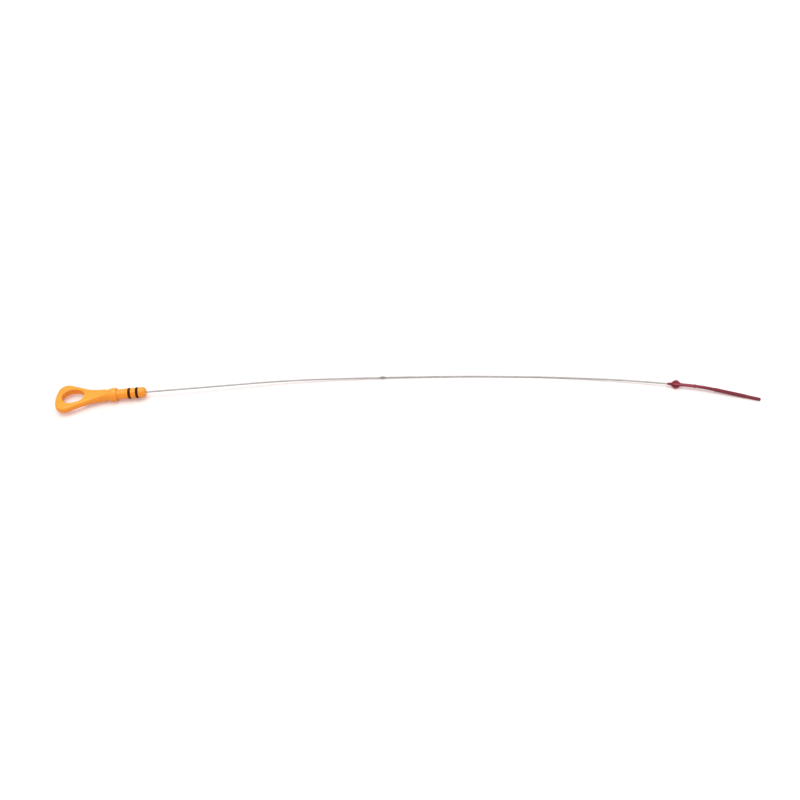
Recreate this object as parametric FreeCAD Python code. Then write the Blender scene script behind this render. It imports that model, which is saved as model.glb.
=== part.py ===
import FreeCAD, Part
import math
import os

# Engine oil dipstick lying at rest. Millimetres, +Z up. The origin is the centre of the collar's
# seat face, and +X runs along the stopper towards the wire.

# Largest part of a straight run that the rounding at one of its ends takes
blend_share = 0.49

# Finger loop, a flat ring with rounded outer edges and an arched end
loop_thickness = 6.6
loop_end_x = -60.7
loop_end_radius = 42.0
loop_corner_x = -55.4
loop_corner_half_width = 21.1
loop_corner_radius = 9.3
loop_side_angle = 23.6
loop_outer_fillet = 2.9

# Finger hole, an egg with its wide end towards the loop's end
hole_wide_x = -43.6
hole_wide_radius = 9.2
hole_narrow_x = -39.8
hole_narrow_radius = 8.2
hole_fillet = 0.8

# Neck, flat where it leaves the loop and round where it meets the collar
neck_half_width = 8.3
neck_blend_radius = 40.0
neck_waist_x = -14.5
neck_waist_half_width = 5.5
neck_rise_length = 19.0
neck_rise_radius = 60.0
neck_end_x = -8.0
neck_end_half_thickness = 5.6
neck_round_x = -10.0
neck_round_radius = 5.6
neck_flank_angle = 20.0
neck_flank_length = 14.0

# Collar, whose flat front face seats on the mouth of the dipstick tube
collar_radius = 6.8
collar_rim_length = 4.8
collar_flare_length = 5.8
collar_flare_radius = 5.2
collar_edge_fillet = 0.5

# Stopper with two seal glands and a rounded nose
stopper_shank_radius = 5.1
stopper_shank_length = 8.2
land_radius = 5.25
land_chamfer = 0.5
gland_floor_radius = 3.45
first_gland_x = 12.0
gland_spacing = 7.4
nose_end_x = 28.1
nose_round = 3.4

# O-rings, one in each gland
ring_section = 2.2
ring_seat_clearance = 0.02
ring_side_clearance = 0.25

# Wire, its anchor inside the handle and its coined flat
wire_radius = 0.8
wire_length = 527.0
wire_anchor_depth = 22.0
anchor_flat_length = 6.0
anchor_flat_width = 2.6
anchor_flat_thickness = 0.9
coined_flat_share = 0.45
coined_flat_length = 7.5
coined_flat_width = 2.4
coined_flat_thickness = 1.1
wire_bend_share = 0.45

# Route of the wire, one row per run: share of the wire's length and heading in degrees
wire_runs = (
    (0.12, 0.0),
    (0.15, 1.2),
    (0.15, -3.2),
    (0.18, -5.4),
    (0.18, -8.3),
    (0.14, -12.4),
    (0.08, -15.8),
)

# Height at the end of each run but the last, from 0 at the stopper's axis to -1 where the wire
# lies on the surface below. The last run ends where the tip's fins stand on that surface.
wire_heights = (-0.14, -0.52, -0.88, -1.0, -1.0, -0.72)

# Gauge tip: cone, crossed centring fins, round stem, stop ring and hatched blade
cone_length = 6.0
cone_mouth_wall = 0.3
core_radius = 1.8
socket_depth = 12.0
fin_count = 4
fin_radius = 4.5
fin_thickness = 1.15
fin_edge_fillet = 0.35
fin_start = 3.0
fin_peak = 8.4
fin_peak_length = 2.0
fin_end = 14.0
fin_tail_radius = 0.9
stem_radius = 1.65
stem_straight_length = 17.0
stem_bend_length = 29.0
stem_turn = -7.2
stem_taper_length = 8.0
stop_ring_at = 27.0
stop_ring_radius = 2.0
stop_ring_length = 1.4
blade_length = 45.4
blade_width = 3.1
blade_thickness = 2.4
blade_edge_fillet = 0.6
blade_end_radius = 1.4
hatch_length = 31.0
hatch_start = 5.0
hatch_proud = 0.2
hatch_bevel = 0.5
hatch_lead = 0.35
hatch_pitch = 3.0
hatch_depth = 0.3
hatch_angle = 45.0

Vector = FreeCAD.Vector
origin = Vector(0, 0, 0)
along_x = Vector(1, 0, 0)
along_y = Vector(0, 1, 0)
along_z = Vector(0, 0, 1)
tiny = 1e-6

# Height of a face's unit normal below which the face is a wall, and above which it is a lid
wall_limit = 0.1
lid_limit = 0.9

floor_z = -collar_radius


def corner_arc(before, corner, after, tangent):
    # Arc that leaves both runs at the tangent length from their corner
    back = (before - corner).normalize()
    ahead = (after - corner).normalize()
    turn = math.pi - back.getAngle(ahead)
    radius = tangent / math.tan(turn / 2)
    middle = (back + ahead).normalize()
    arc_start = corner + back * tangent
    arc_end = corner + ahead * tangent
    arc_middle = corner + middle * (radius / math.cos(turn / 2) - radius)
    return arc_start, Part.Arc(arc_start, arc_middle, arc_end).toShape(), arc_end


def rounded_route(corners, tangents):
    # Straight runs joined by an arc at each inner corner
    edges = []
    start = corners[0]
    for index in range(1, len(corners) - 1):
        before, corner, after = corners[index - 1:index + 2]
        arc_start, arc, arc_end = corner_arc(before, corner, after, tangents[index - 1])
        edges += [Part.LineSegment(start, arc_start).toShape(), arc]
        start = arc_end
    edges.append(Part.LineSegment(start, corners[-1]).toShape())
    return Part.Wire(edges)


def rounded_face(corners, radii):
    # Closed outline with its corners rounded as far as the runs beside them allow
    joints = []
    for index, (corner, radius) in enumerate(zip(corners, radii)):
        before, after = corners[index - 1], corners[(index + 1) % len(corners)]
        if radius == 0:
            joints.append((corner, None, corner))
            continue
        turn = math.pi - (before - corner).getAngle(after - corner)
        room = blend_share * min((before - corner).Length, (after - corner).Length)
        tangent = min(radius * math.tan(turn / 2), room)
        joints.append(corner_arc(before, corner, after, tangent))
    edges = []
    for index, (_, arc, leave) in enumerate(joints):
        if arc:
            edges.append(arc)
        reach = joints[(index + 1) % len(joints)][0]
        edges.append(Part.LineSegment(leave, reach).toShape())
    return Part.Face(Part.Wire(edges))


def polygon_face(points):
    return Part.Face(Part.makePolygon(points + points[:1]))


def side_prism(outline, half_width):
    face = polygon_face([Vector(x, -half_width, z) for x, z in outline])
    return face.extrude(Vector(0, 2 * half_width, 0))


def turned(outline):
    # An outline of (x, radius) points revolved about the X axis
    face = polygon_face([Vector(x, 0, radius) for x, radius in outline])
    return face.revolve(origin, along_x, 360)


def mirrored(half_outline):
    # A row of (x, y, radius) corners, from its +Y half
    return half_outline + [(x, -y, r) for x, y, r in reversed(half_outline) if abs(y) > tiny]


def upright_edges(solid, near_x):
    found = []
    for edge in solid.Edges:
        box = edge.BoundBox
        if box.XLength < tiny and box.YLength < tiny and abs(box.XMin - near_x) < tiny:
            found.append(edge)
    return found


def rim_edges(solid):
    # Edges where an upright wall meets a top or bottom face
    found = []
    for edge in solid.Edges:
        walls = 0
        lids = 0
        for face in solid.ancestorsOfType(edge, Part.Face):
            u_min, u_max, v_min, v_max = face.ParameterRange
            normal = face.normalAt((u_min + u_max) / 2, (v_min + v_max) / 2)
            if abs(normal.z) < wall_limit:
                walls += 1
            if abs(normal.z) > lid_limit:
                lids += 1
        if walls == 1 and lids == 1:
            found.append(edge)
    return found


def circle_edges(solid, x, radius):
    found = []
    for edge in solid.Edges:
        if isinstance(edge.Curve, Part.Circle):
            if abs(edge.Curve.Center.x - x) < tiny and abs(edge.Curve.Radius - radius) < tiny:
                found.append(edge)
    return found


# Handle

side_slope = math.tan(math.radians(loop_side_angle))


def loop_plan():
    # The loop and the neck seen from above, as a tall slab
    neck_x = loop_corner_x + (loop_corner_half_width - neck_half_width) / side_slope
    outline = mirrored([
        (loop_end_x, 0, loop_end_radius),
        (loop_corner_x, loop_corner_half_width, loop_corner_radius),
        (neck_x, neck_half_width, neck_blend_radius),
        (neck_waist_x, neck_waist_half_width, neck_blend_radius),
        (neck_end_x, neck_waist_half_width, 0),
    ])
    tall = 2 * collar_radius
    face = rounded_face([Vector(x, y, -tall) for x, y, _ in outline], [radius for _, _, radius in outline])
    return face.extrude(Vector(0, 0, 2 * tall))


def loop_side():
    # The same seen from the side: flat along the loop, then thicker towards the collar
    half = loop_thickness / 2
    outline = mirrored([
        (2 * loop_end_x, half, 0),
        (neck_end_x - neck_rise_length, half, neck_rise_radius),
        (neck_end_x, neck_end_half_thickness, 0),
    ])
    wide = 2 * loop_corner_half_width
    face = rounded_face([Vector(x, -wide, z) for x, z, _ in outline], [radius for _, _, radius in outline])
    return face.extrude(Vector(0, 2 * wide, 0))


def neck_envelope():
    # Cone that turns the neck's flanks round where they run into the collar
    cone_x = neck_round_x - neck_flank_length
    cone_radius = neck_round_radius + neck_flank_length * math.tan(math.radians(neck_flank_angle))
    wide = 2 * loop_corner_half_width
    return turned([
        (2 * loop_end_x, 0),
        (2 * loop_end_x, wide),
        (cone_x, wide),
        (cone_x, cone_radius),
        (neck_round_x, neck_round_radius),
        (neck_end_x, neck_round_radius),
        (neck_end_x, 0),
    ])


def finger_hole():
    # Two arcs joined by lines that are tangent to both
    spacing = hole_narrow_x - hole_wide_x
    lean = math.asin((hole_wide_radius - hole_narrow_radius) / spacing)
    corners = []
    for x, radius in ((hole_wide_x, hole_wide_radius), (hole_narrow_x, hole_narrow_radius)):
        corners.append((x + radius * math.sin(lean), radius * math.cos(lean)))
    (wide_x, wide_y), (narrow_x, narrow_y) = corners
    wide_top, wide_low = Vector(wide_x, wide_y, 0), Vector(wide_x, -wide_y, 0)
    narrow_top, narrow_low = Vector(narrow_x, narrow_y, 0), Vector(narrow_x, -narrow_y, 0)
    wide_end = Vector(hole_wide_x - hole_wide_radius, 0, 0)
    narrow_end = Vector(hole_narrow_x + hole_narrow_radius, 0, 0)
    rim = Part.Wire([
        Part.Arc(wide_low, wide_end, wide_top).toShape(),
        Part.LineSegment(wide_top, narrow_top).toShape(),
        Part.Arc(narrow_top, narrow_end, narrow_low).toShape(),
        Part.LineSegment(narrow_low, wide_low).toShape(),
    ])
    rim.translate(Vector(0, 0, -loop_thickness))
    return Part.Face(rim).extrude(Vector(0, 0, 2 * loop_thickness))


def hole_edges(solid, hole):
    # Top and bottom edges of the finger hole
    reach = hole.BoundBox
    found = []
    for edge in rim_edges(solid):
        box = edge.BoundBox
        inside_x = box.XMin > reach.XMin - tiny and box.XMax < reach.XMax + tiny
        inside_y = box.YMin > reach.YMin - tiny and box.YMax < reach.YMax + tiny
        if inside_x and inside_y:
            found.append(edge)
    return found


def paddle():
    # Loop and neck in one, the two outlines crossed
    solid = loop_plan().common(loop_side())
    edges = [edge for edge in rim_edges(solid) if edge.BoundBox.XMin < neck_end_x - tiny]
    solid = solid.makeFillet(loop_outer_fillet, edges)
    solid = solid.common(neck_envelope())
    hole = finger_hole()
    solid = solid.cut(hole)
    return solid.makeFillet(hole_fillet, hole_edges(solid, hole))


def collar():
    # A cone that flares from the neck to the rim
    flare_x = -collar_rim_length - collar_flare_length
    solid = turned([
        (flare_x, 0),
        (flare_x, collar_flare_radius),
        (-collar_rim_length, collar_radius),
        (0, collar_radius),
        (0, 0),
    ])
    edges = circle_edges(solid, 0, collar_radius) + circle_edges(solid, -collar_rim_length, collar_radius)
    return solid.makeFillet(collar_edge_fillet, edges)


def gland(centre_x):
    half = ring_section / 2 + ring_side_clearance
    return turned([
        (centre_x - half, gland_floor_radius),
        (centre_x - half, 2 * land_radius),
        (centre_x + half, 2 * land_radius),
        (centre_x + half, gland_floor_radius),
    ])


def gland_centres():
    return [first_gland_x, first_gland_x + gland_spacing]


def stopper():
    # A slimmer shank up to the lands, which guide the stopper in the tube
    solid = turned([
        (-collar_rim_length, 0),
        (-collar_rim_length, stopper_shank_radius),
        (stopper_shank_length, stopper_shank_radius),
        (stopper_shank_length, land_radius - land_chamfer / 2),
        (stopper_shank_length + land_chamfer, land_radius),
        (nose_end_x, land_radius),
        (nose_end_x, 0),
    ])
    solid = solid.makeFillet(nose_round, circle_edges(solid, nose_end_x, land_radius))
    for centre_x in gland_centres():
        solid = solid.cut(gland(centre_x))
    return solid


def handle(wire):
    # Moulded round the wire, so the wire itself cuts its socket
    return paddle().fuse([collar(), stopper()]).cut(wire).removeSplitter()


def o_ring(centre_x):
    section = ring_section / 2
    middle = gland_floor_radius + ring_seat_clearance + section
    return Part.makeTorus(middle, section, Vector(centre_x, 0, 0), along_x)


# Routes of the wire and the gauge tip

def heading_vector(heading, pitch):
    level = math.cos(math.radians(pitch))
    return Vector(
        level * math.cos(math.radians(heading)),
        level * math.sin(math.radians(heading)),
        math.sin(math.radians(pitch)),
    )


def fin_stand():
    # Height of the tip's axis when two neighbouring fins stand on the surface
    spread = math.radians(180 / fin_count)
    reach = (fin_radius - fin_edge_fillet) * math.cos(spread)
    return reach + (fin_thickness / 2 - fin_edge_fillet) * math.sin(spread) + fin_edge_fillet


def wire_corners():
    lowest = floor_z + wire_radius
    heights = [-share * lowest for share in wire_heights] + [floor_z + fin_stand()]
    corners = [Vector(nose_end_x, 0, 0)]
    for (share, heading), height in zip(wire_runs, heights):
        last = corners[-1]
        run = share * wire_length
        rise = height - last.z
        level = math.sqrt(run * run - rise * rise)
        step = heading_vector(heading, 0) * level
        corners.append(Vector(last.x + step.x, last.y + step.y, height))
    return corners


def wire_route():
    corners = wire_corners()
    last_run = (corners[-1] - corners[-2]).normalize()
    runs = [(b - a).Length for a, b in zip(corners, corners[1:])]
    tangents = [wire_bend_share * min(a, b) for a, b in zip(runs, runs[1:])]
    first = Vector(nose_end_x - wire_anchor_depth + anchor_flat_length / 2, 0, 0)
    corners[0] = first
    corners[-1] = corners[-1] + last_run * socket_depth
    return rounded_route(corners, tangents)


def place(solid, point, direction):
    # Moves a solid built along X so that it starts at the point and keeps its Z side up
    across = along_z.cross(direction).normalize()
    up = direction.cross(across)
    rotation = FreeCAD.Rotation(direction, across, up, "XZY")
    solid.Placement = FreeCAD.Placement(point, rotation)
    return solid


def point_along(route, distance):
    for edge in route.OrderedEdges:
        if distance <= edge.Length:
            parameter = edge.getParameterByLength(distance)
            return edge.valueAt(parameter), edge.tangentAt(parameter)
        distance -= edge.Length
    return edge.valueAt(edge.LastParameter), edge.tangentAt(edge.LastParameter)


def swept_round(route, radius):
    # A round bar along the route
    first = route.OrderedEdges[0]
    start = first.valueAt(first.FirstParameter)
    direction = first.tangentAt(first.FirstParameter)
    profile = Part.Wire(Part.makeCircle(radius, start, direction))
    return route.makePipeShell([profile], True, False)


# Wire

def anchor_flat():
    # Flattened end that keeps the wire from turning or pulling out of the handle
    start_x = nose_end_x - wire_anchor_depth
    solid = Part.makeBox(anchor_flat_length, anchor_flat_width, anchor_flat_thickness)
    solid.translate(Vector(start_x, -anchor_flat_width / 2, -anchor_flat_thickness / 2))
    return solid


def lens_face(length, width):
    left = Vector(-length / 2, 0, 0)
    right = Vector(length / 2, 0, 0)
    upper = Part.Arc(left, Vector(0, width / 2, 0), right).toShape()
    lower = Part.Arc(right, Vector(0, -width / 2, 0), left).toShape()
    return Part.Face(Part.Wire([upper, lower]))


def coined_flat(wire, route):
    # Two rounded dies press the wire thin, and it spreads to the sides between them
    half = coined_flat_thickness / 2
    die_sag = wire_radius - half
    die_radius = (coined_flat_length ** 2 / 4 + die_sag ** 2) / (2 * die_sag)
    distance = wire_anchor_depth - anchor_flat_length / 2 + coined_flat_share * wire_length
    point, direction = point_along(route, distance)
    spread = lens_face(coined_flat_length, coined_flat_width)
    spread.translate(Vector(0, 0, -half))
    spread = place(spread.extrude(Vector(0, 0, coined_flat_thickness)), point, direction)
    solid = wire.fuse(spread)
    for side in (1, -1):
        centre = Vector(0, -coined_flat_width, side * (half + die_radius))
        die = Part.makeCylinder(die_radius, 2 * coined_flat_width, centre, along_y)
        solid = solid.cut(place(die, point, direction))
    return solid


def spring_wire(route):
    return coined_flat(swept_round(route, wire_radius), route).fuse(anchor_flat())


# Gauge tip

def fin(angle):
    # A thin plate with sloping ends, which guides the tip down the tube
    outline = [
        (fin_start, 0),
        (fin_start, fin_tail_radius),
        (fin_peak - fin_peak_length / 2, fin_radius),
        (fin_peak + fin_peak_length / 2, fin_radius),
        (fin_end, fin_tail_radius),
        (fin_end, 0),
    ]
    solid = side_prism(outline, fin_thickness / 2)
    outer = []
    for edge in solid.Edges:
        box = edge.BoundBox
        if box.YLength < tiny and box.ZMax > core_radius and box.XLength > tiny:
            outer.append(edge)
    solid = solid.makeFillet(fin_edge_fillet, outer)
    solid.rotate(origin, along_x, angle)
    return solid


def tip_head():
    core = turned([
        (0, 0),
        (0, wire_radius + cone_mouth_wall),
        (cone_length, core_radius),
        (fin_end, core_radius),
        (stem_straight_length, stem_radius),
        (stem_straight_length, 0),
    ])
    first = 180 / fin_count
    return core.fuse([fin(first + 360 * index / fin_count) for index in range(fin_count)])


def stop_ring():
    # Its sloping sides start a little inside the stem
    half = stop_ring_length / 2
    core_inside = 2 * stem_radius - stop_ring_radius
    return turned([
        (-half, 0),
        (-half, core_inside),
        (-half / 2, stop_ring_radius),
        (half / 2, stop_ring_radius),
        (half, core_inside),
        (half, 0),
    ])


def bar(start_x, length, width, thickness):
    solid = Part.makeBox(length, width, thickness)
    solid.translate(Vector(start_x, -width / 2, -thickness / 2))
    return solid


def hatch_cuts(width, thickness):
    # V grooves that slant both ways across the upper and lower faces
    cuts = []
    count = int((hatch_length - hatch_start) / hatch_pitch)
    for index in range(count):
        centre_x = hatch_start + (index + 0.5) * hatch_pitch
        for side in (1, -1):
            surface = side * thickness / 2
            corners = [
                Vector(-hatch_depth, -width, surface + side * tiny),
                Vector(hatch_depth, -width, surface + side * tiny),
                Vector(0, -width, surface - side * hatch_depth),
            ]
            for turn in (hatch_angle, -hatch_angle):
                groove = polygon_face(corners).extrude(Vector(0, 2 * width, 0))
                groove.rotate(origin, along_z, turn)
                groove.translate(Vector(centre_x, 0, 0))
                cuts.append(groove)
    return cuts


def blade():
    # Flat end that the oil level is read from, with a raised hatched zone
    plain = bar(0, blade_length, blade_width, blade_thickness)
    end_edges = upright_edges(plain, blade_length)
    plain = plain.makeFillet(blade_end_radius, end_edges)
    plain = plain.makeFillet(blade_edge_fillet, rim_edges(plain))
    width = blade_width + 2 * hatch_proud
    thickness = blade_thickness + 2 * hatch_proud
    pad = bar(0, hatch_length, width, thickness)
    pad = pad.makeChamfer(hatch_bevel, [edge for edge in pad.Edges if edge.BoundBox.XLength > tiny])
    pad = pad.makeChamfer(hatch_lead, [edge for edge in pad.Edges if edge.BoundBox.XMax < tiny])
    pad = pad.cut(hatch_cuts(width, thickness))
    taper = turned([
        (0, 0),
        (0, stem_radius),
        (stem_taper_length, blade_thickness / 2 - hatch_proud),
        (stem_taper_length, 0),
    ])
    return plain.fuse([pad, taper])


def tip_route(wire_path):
    mouth = wire_corners()[-1]
    direction = point_along(wire_path, wire_path.Length)[1]
    tangent = stem_bend_length / 2
    corner = mouth + direction * (stem_straight_length + tangent)
    heading = math.degrees(math.atan2(direction.y, direction.x)) + stem_turn
    run = tangent + blade_length
    end_z = floor_z + blade_thickness / 2
    pitch = math.degrees(math.asin((end_z - corner.z) / run))
    end = corner + heading_vector(heading, pitch) * run
    return rounded_route([mouth, corner, end], [tangent])


def gauge_tip(wire, wire_path):
    # Head, bent stem and blade in one piece, moulded round the end of the wire
    route = tip_route(wire_path)
    straight, bend, last = route.OrderedEdges
    mouth = straight.valueAt(straight.FirstParameter)
    head = place(tip_head(), mouth, straight.tangentAt(straight.FirstParameter))
    stem = swept_round(Part.Wire([bend]), stem_radius)
    ring_point, ring_direction = point_along(route, stop_ring_at)
    ring = place(stop_ring(), ring_point, ring_direction)
    blade_start = last.valueAt(last.FirstParameter)
    end = place(blade(), blade_start, last.tangentAt(last.FirstParameter))
    return stem.fuse([head, ring, end]).cut(wire)


def main():
    os.makedirs("parts", exist_ok=True)
    route = wire_route()
    wire = spring_wire(route)
    nodes = {
        "handle": handle(wire),
        "wire": wire,
        "gauge_tip": gauge_tip(wire, route),
    }
    for name, centre_x in zip(("collar_o_ring", "nose_o_ring"), gland_centres()):
        nodes[name] = o_ring(centre_x)
    for name, solid in nodes.items():
        box = solid.BoundBox
        print(name, solid.isValid(), len(solid.Solids), round(solid.Volume, 2),
              [round(v, 2) for v in (box.XMin, box.XMax, box.YMin, box.YMax, box.ZMin, box.ZMax)])
        solid.exportStep(os.path.join("parts", name + ".step"))
    print("wire section x length", round(math.pi * wire_radius ** 2 * route.Length, 2))


main()
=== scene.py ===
import math

import bpy
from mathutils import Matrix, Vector


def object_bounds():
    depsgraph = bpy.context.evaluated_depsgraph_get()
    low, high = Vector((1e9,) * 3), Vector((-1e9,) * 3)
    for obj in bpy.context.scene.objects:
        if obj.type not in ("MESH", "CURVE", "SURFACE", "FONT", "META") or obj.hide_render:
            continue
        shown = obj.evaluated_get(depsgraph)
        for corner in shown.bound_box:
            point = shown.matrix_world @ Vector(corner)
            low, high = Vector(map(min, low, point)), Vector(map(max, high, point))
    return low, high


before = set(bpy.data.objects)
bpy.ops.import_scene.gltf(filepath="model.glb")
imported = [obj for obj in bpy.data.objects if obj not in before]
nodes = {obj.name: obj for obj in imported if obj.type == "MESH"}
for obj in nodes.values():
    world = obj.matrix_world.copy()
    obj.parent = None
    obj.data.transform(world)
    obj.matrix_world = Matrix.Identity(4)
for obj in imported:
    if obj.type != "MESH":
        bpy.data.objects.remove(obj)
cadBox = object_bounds()
print("frame loaded:", ", ".join(sorted(nodes)))

millimetre = 0.001
noiseMean = 0.5  # what a noise is on average


class Signal:
    # a socket that takes part in Python expressions
    def __init__(self, wiring, socket):
        self.wiring = wiring
        self.socket = socket

    def combine(self, operation, *parts):
        return self.wiring.node("ShaderNodeMath", {"operation": operation}, dict(enumerate(parts)))

    def __add__(self, other):
        return self.combine("ADD", self, other)

    def __radd__(self, other):
        return self.combine("ADD", other, self)

    def __sub__(self, other):
        return self.combine("SUBTRACT", self, other)

    def __rsub__(self, other):
        return self.combine("SUBTRACT", other, self)

    def __mul__(self, other):
        return self.combine("MULTIPLY", self, other)

    def __rmul__(self, other):
        return self.combine("MULTIPLY", other, self)

    def __abs__(self):
        return self.combine("ABSOLUTE", self)


class Wiring:
    # a node tree whose nodes are all made by one method
    def __init__(self, tree):
        self.tree = tree

    def node(self, kind, settings, values, output=0):
        made = self.tree.nodes.new(kind)
        for name, setting in settings.items():
            setattr(made, name, setting)
        for socket, value in values.items():
            self.plug(made.inputs[socket], value)
        return Signal(self, made.outputs[output])

    def plug(self, socket, value):
        if isinstance(value, Signal):
            self.tree.links.new(value.socket, socket)
        else:
            socket.default_value = value


class Finish(Wiring):
    # a material with one Principled shader and the nodes that feed it
    def __init__(self, name, constants):
        self.material = bpy.data.materials.new(name)
        self.material.use_nodes = True
        super().__init__(self.material.node_tree)
        for socket, value in constants.items():
            self.feed(socket, value)

    def feed(self, socket, value):
        self.plug(self.tree.nodes["Principled BSDF"].inputs[socket], value)

    def vector(self, operation, first, second, output="Vector"):
        return self.node("ShaderNodeVectorMath", {"operation": operation}, {0: first, 1: second}, output)

    def axis(self, vector, name):
        # one coordinate of a vector
        return self.node("ShaderNodeSeparateXYZ", {}, {0: vector}, name)

    def place(self, stretch=(1, 1, 1)):
        # object coordinates, scaled per axis
        return self.vector("MULTIPLY", self.node("ShaderNodeTexCoord", {}, {}, "Object"), stretch)

    def noise(self, spot, size, detail=2.0, roughness=0.5):
        # a noise whose spots are about size metres across, from 0 to 1
        values = {"Vector": spot, "Scale": 1 / size, "Detail": detail, "Roughness": roughness}
        return self.node("ShaderNodeTexNoise", {}, values, "Fac")

    def spread(self, value, low, high):
        # takes low..high to 0..1, smoothly and clamped
        values = {"Value": value, "From Min": low, "From Max": high}
        return self.node("ShaderNodeMapRange", {"interpolation_type": "SMOOTHSTEP"}, values)

    def mixColours(self, amount, first, second):
        return self.node("ShaderNodeMix", {"data_type": "RGBA"}, {0: amount, 6: first, 7: second}, 2)

    def feedColour(self, socket, parts):
        # joins red, green and blue on their way into the shader
        self.feed(socket, self.node("ShaderNodeCombineColor", {}, dict(enumerate(parts))))

    def feedBump(self, height):
        # the height is in millimetres
        self.feed("Normal", self.node("ShaderNodeBump", {}, {"Height": height, "Distance": millimetre}))

    def dress(self, *names):
        for name in names:
            slots = nodes[name].data.materials
            for index in range(len(slots)):
                slots[index] = self.material


def rgba(red, green, blue):
    return (red, green, blue, 1.0)


# handle: satin moulded plastic

handleLook = {
    "paintedTopLightColour": rgba(0.92, 0.425, 0.034),
    "sideColour": rgba(1.0, 0.32, 0.015),
    # painted shade: undersides deeper and redder than the sides
    "paintedUnderShadeColour": rgba(0.86, 0.22, 0.008),
    "paintedTopLightFacing": (0.4, 1.0),  # painted light: from side colour to a lighter, yellower top colour, by how far up a face points
    # painted shade: from under colour to side colour, by how far up a face points
    "paintedUnderShadeFacing": (-0.6, 0.05),
    "deepColour": rgba(0.92, 0.29, 0.02),  # flow marks
    "flowShare": 0.35,
    "flowSize": 0.009,
    "flowStretch": (0.35, 1, 1),
    "flowRange": (0.3, 0.75),
    "softness": 0.12,
    "softReach": (0.004, 0.0015, 0.0004),
    "softScale": 0.5,
    "specular": 0.42,
    "roughness": 0.32,
    "roughnessSpread": 0.08,
    "grainSize": 0.0005,
    "grainDepth": 0.00002,
    "seamWidth": 0.00012,
    "seamDepth": 0.00006,
}


def buildHandlePlastic(look):
    finish = Finish("handlePlastic", {
        "Subsurface Weight": look["softness"],
        "Subsurface Radius": look["softReach"],
        "Subsurface Scale": look["softScale"],
        "Specular IOR Level": look["specular"],
    })
    spot = finish.place()
    # painted light and shade: the colour is graded by the way a face points, yellower on top, deeper and
    # redder underneath
    facing = finish.axis(finish.node("ShaderNodeNewGeometry", {}, {}, "Normal"), "Z")
    outsideUnderShade = finish.spread(facing, *look["paintedUnderShadeFacing"])
    sidesAndPaintedUnderShade = finish.mixColours(outsideUnderShade, look["paintedUnderShadeColour"], look["sideColour"])
    shade = finish.mixColours(finish.spread(facing, *look["paintedTopLightFacing"]), sidesAndPaintedUnderShade, look["paintedTopLightColour"])
    flow = finish.noise(finish.place(look["flowStretch"]), look["flowSize"], detail=3)
    flowMarks = finish.spread(flow, *look["flowRange"]) * look["flowShare"]
    finish.feed("Base Color", finish.mixColours(flowMarks, shade, look["deepColour"]))
    grain = finish.noise(spot, look["grainSize"], detail=3, roughness=0.6)
    finish.feed("Roughness", look["roughness"] + look["roughnessSpread"] * (grain + flow - 2 * noiseMean))
    # the mould's parting line runs at half height
    seam = 1 - finish.spread(abs(finish.axis(spot, "Z")), 0.0, look["seamWidth"])
    finish.feedBump(grain * (look["grainDepth"] / millimetre) + seam * (look["seamDepth"] / millimetre))
    return finish


buildHandlePlastic(handleLook).dress("handle")
print("handle plastic done")


# seals: dark rubber

sealLook = {
    "colour": rgba(0.065, 0.008, 0.0),
    "dustColour": rgba(0.085, 0.016, 0.002),
    "filmSize": 0.003,
    "filmRange": (0.4, 0.8),
    "specular": 0.1,
    "roughness": 0.42,
    "roughnessSpread": 0.2,
    "grainSize": 0.0003,
    "grainDepth": 0.000012,
}


def buildSealRubber(look):
    finish = Finish("sealRubber", {"Specular IOR Level": look["specular"]})
    spot = finish.place()
    film = finish.noise(spot, look["filmSize"])
    dust = finish.spread(film, *look["filmRange"])
    finish.feed("Base Color", finish.mixColours(dust, look["colour"], look["dustColour"]))
    finish.feed("Roughness", look["roughness"] + look["roughnessSpread"] * (film - noiseMean))
    grain = finish.noise(spot, look["grainSize"], detail=4, roughness=0.6)
    finish.feedBump(grain * (look["grainDepth"] / millimetre))
    return finish


buildSealRubber(sealLook).dress("collar_o_ring", "nose_o_ring")
print("seal rubber done")


# wire: drawn spring steel, coloured darker on its coined flat

wireLook = {
    "colour": rgba(0.48, 0.465, 0.455),
    "shadeColour": rgba(0.40, 0.385, 0.38),
    "patchSize": 0.002,
    "patchStretch": (0.15, 1, 1),
    "patchRange": (0.35, 0.75),
    "flatColour": rgba(0.35, 0.335, 0.33),
    "flatPlace": 0.265,
    "flatReach": (0.0027, 0.0045),
    "roughness": 0.45,
    "roughnessSpread": 0.12,
    "lineWidth": 0.00008,
    "lineStretch": (0.02, 1, 1),
    "lineDepth": 0.000006,
}


def buildWireSteel(look):
    finish = Finish("wireSteel", {"Metallic": 1.0})
    patches = finish.noise(finish.place(look["patchStretch"]), look["patchSize"], detail=3)
    stains = finish.spread(patches, *look["patchRange"])
    drawn = finish.mixColours(stains, look["colour"], look["shadeColour"])
    offFlat = abs(finish.axis(finish.place(), "X") - look["flatPlace"])
    onFlat = 1 - finish.spread(offFlat, *look["flatReach"])
    finish.feed("Base Color", finish.mixColours(onFlat, drawn, look["flatColour"]))
    lines = finish.noise(finish.place(look["lineStretch"]), look["lineWidth"], detail=3)
    unevenness = lines + patches - 2 * noiseMean
    finish.feed("Roughness", look["roughness"] + look["roughnessSpread"] * unevenness)
    finish.feedBump(lines * (look["lineDepth"] / millimetre))
    return finish


buildWireSteel(wireLook).dress("wire")
print("wire steel done")


# gauge tip: dark red moulded plastic

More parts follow.
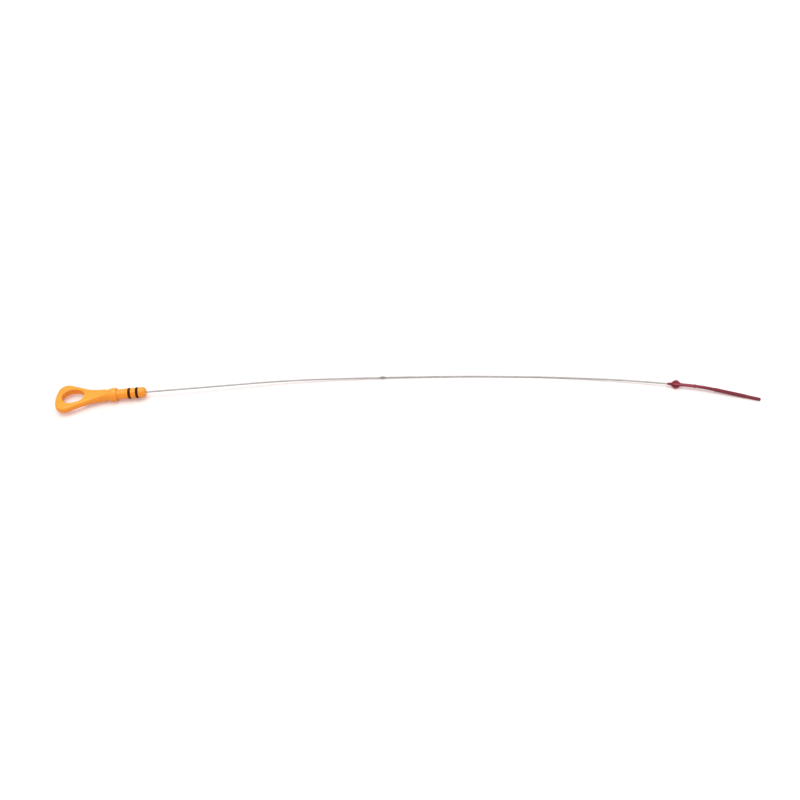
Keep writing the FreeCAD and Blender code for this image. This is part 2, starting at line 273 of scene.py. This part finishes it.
tipLook = {
    "colour": rgba(0.33, 0.052, 0.078),
    "deepColour": rgba(0.21, 0.022, 0.038),
    "darkRange": (0.565, 0.6),  # the stem darkens between these places along X
    "flowSize": 0.006,
    "flowStretch": (0.3, 1, 1),
    # painted shade in the core between the fins, painted light on their outer parts
    "paintedCoreShadeColour": rgba(0.24, 0.012, 0.02),
    "paintedFinLightColour": rgba(0.44, 0.095, 0.135),
    "finRange": (0.0018, 0.0045),  # painted shade and light: from the shaded core between the fins to lighter outer fin parts, by distance from the tip's axis
    "finEnd": (0.01, 0.014),  # where the fins' colours give way to the stem's, ahead of the mouth
    "mouth": (0.54993, -0.05275, -0.0033),  # where the wire goes into the tip
    "heading": -15.8,
    "specular": 0.3,
    "roughness": 0.4,
    "roughnessSpread": 0.12,
    "grainSize": 0.0004,
    "grainDepth": 0.000018,
}


def buildTipPlastic(look):
    finish = Finish("tipPlastic", {"Specular IOR Level": look["specular"]})
    spot = finish.place()
    flow = finish.noise(finish.place(look["flowStretch"]), look["flowSize"], detail=3)
    outer = finish.spread(finish.axis(spot, "X"), *look["darkRange"])
    dark = finish.spread(flow - noiseMean + outer, 0.0, 1.0)
    stemShade = finish.mixColours(dark, look["colour"], look["deepColour"])
    # the same place as seen from the mouth, with X along the tip
    fromMouth = finish.vector("SUBTRACT", spot, look["mouth"])
    turned = {"Vector": fromMouth, "Angle": -math.radians(look["heading"])}
    straight = finish.node("ShaderNodeVectorRotate", {"rotation_type": "Z_AXIS"}, turned)
    # painted shade at the core between the fins, painted light further out on them
    sideways = finish.vector("MULTIPLY", straight, (0, 1, 1))
    offAxis = finish.vector("LENGTH", sideways, (0, 0, 0), "Value")
    outwards = finish.spread(offAxis, *look["finRange"])
    paintedFinLightAndShade = finish.mixColours(outwards, look["paintedCoreShadeColour"], look["paintedFinLightColour"])
    onFins = 1 - finish.spread(finish.axis(straight, "X"), *look["finEnd"])
    finish.feed("Base Color", finish.mixColours(onFins, stemShade, paintedFinLightAndShade))
    grain = finish.noise(spot, look["grainSize"], detail=3, roughness=0.6)
    finish.feed("Roughness", look["roughness"] + look["roughnessSpread"] * (grain + flow - 2 * noiseMean))
    finish.feedBump(grain * (look["grainDepth"] / millimetre))
    return finish


buildTipPlastic(tipLook).dress("gauge_tip")
print("tip plastic done")


# floor, light and camera

studio = {
    "floorSize": 12.0,
    "floorColour": 0.88,
    "floorRoughness": 0.9,
    "floorGrainSize": 0.004,
    "floorGrainShare": 0.004,
    "floorGlow": (0.222, 0.15, 0.138),  # seen by the camera only, warms the shadows
    "skyStrength": 0.75,
    "backdropStrength": 1.0,
    "sunStrength": 1.1,
    "sunSpread": 45.0,
    "sunElevation": 86.0,
    "sunAzimuth": 100.0,
}

view = {
    "target": (0.2786, -0.0374),
    "yaw": 7.44,
    "elevation": 45.0,
    "distance": 0.8,
    "lens": 36.0,
    "sensor": 36.0,
    "nearest": 0.01,
}

floorHeight = cadBox[0].z


def buildFloor(look):
    half = look["floorSize"] / 2
    mesh = bpy.data.meshes.new("studioFloor")
    signs = ((-1, -1), (1, -1), (1, 1), (-1, 1))
    corners = [(half * across, half * along, floorHeight) for across, along in signs]
    mesh.from_pydata(corners, [], [(0, 1, 2, 3)])
    floor = bpy.data.objects.new("studioFloor", mesh)
    bpy.context.scene.collection.objects.link(floor)
    finish = Finish("studioPaper", {
        "Specular IOR Level": 0.0,
        "Roughness": look["floorRoughness"],
        "Emission Strength": 1.0,
    })
    grain = finish.noise(finish.place(), look["floorGrainSize"])
    shade = look["floorColour"] + look["floorGrainShare"] * (grain - noiseMean)
    finish.feedColour("Base Color", [shade, shade, shade])
    toCamera = finish.node("ShaderNodeLightPath", {}, {}, "Is Camera Ray")
    finish.feedColour("Emission Color", [part * toCamera for part in look["floorGlow"]])
    mesh.materials.append(finish.material)


def addAimed(thing, towards):
    # adds a lamp or a camera that looks from the side that towards points to
    thing.rotation_mode = "QUATERNION"
    thing.rotation_quaternion = towards.to_track_quat("Z", "Y")
    bpy.context.scene.collection.objects.link(thing)


def buildSky(look):
    world = bpy.data.worlds.new("studioSky")
    world.use_nodes = True
    wiring = Wiring(world.node_tree)
    sky = world.node_tree.nodes["Background"]
    wiring.plug(sky.inputs["Color"], rgba(1, 1, 1))
    # the camera sees a white backdrop, while the part gets a weaker light
    toCamera = wiring.node("ShaderNodeLightPath", {}, {}, "Is Camera Ray")
    values = {"Value": toCamera, "To Min": look["skyStrength"], "To Max": look["backdropStrength"]}
    wiring.plug(sky.inputs["Strength"], wiring.node("ShaderNodeMapRange", {}, values))
    bpy.context.scene.world = world


def buildSun(look):
    sun = bpy.data.lights.new("studioSun", "SUN")
    sun.energy = look["sunStrength"]
    sun.angle = math.radians(look["sunSpread"])
    rise, turn = math.radians(look["sunElevation"]), math.radians(look["sunAzimuth"])
    towards = Vector((math.cos(rise) * math.cos(turn), math.cos(rise) * math.sin(turn), math.sin(rise)))
    addAimed(bpy.data.objects.new("studioSun", sun), towards)


def buildCamera(look):
    camera = bpy.data.cameras.new("photoCamera")
    camera.lens = look["lens"]
    camera.sensor_width = look["sensor"]
    camera.clip_start = look["nearest"]
    holder = bpy.data.objects.new("photoCamera", camera)
    rise, turn = math.radians(look["elevation"]), math.radians(look["yaw"])
    back = Vector((-math.cos(rise) * math.sin(turn), -math.cos(rise) * math.cos(turn), math.sin(rise)))
    holder.location = Vector((*look["target"], floorHeight)) + back * look["distance"]
    addAimed(holder, back)
    bpy.context.scene.camera = holder


buildFloor(studio)
buildSky(studio)
buildSun(studio)
buildCamera(view)
bpy.context.scene.view_settings.view_transform = "Standard"
print("floor, light and camera done")
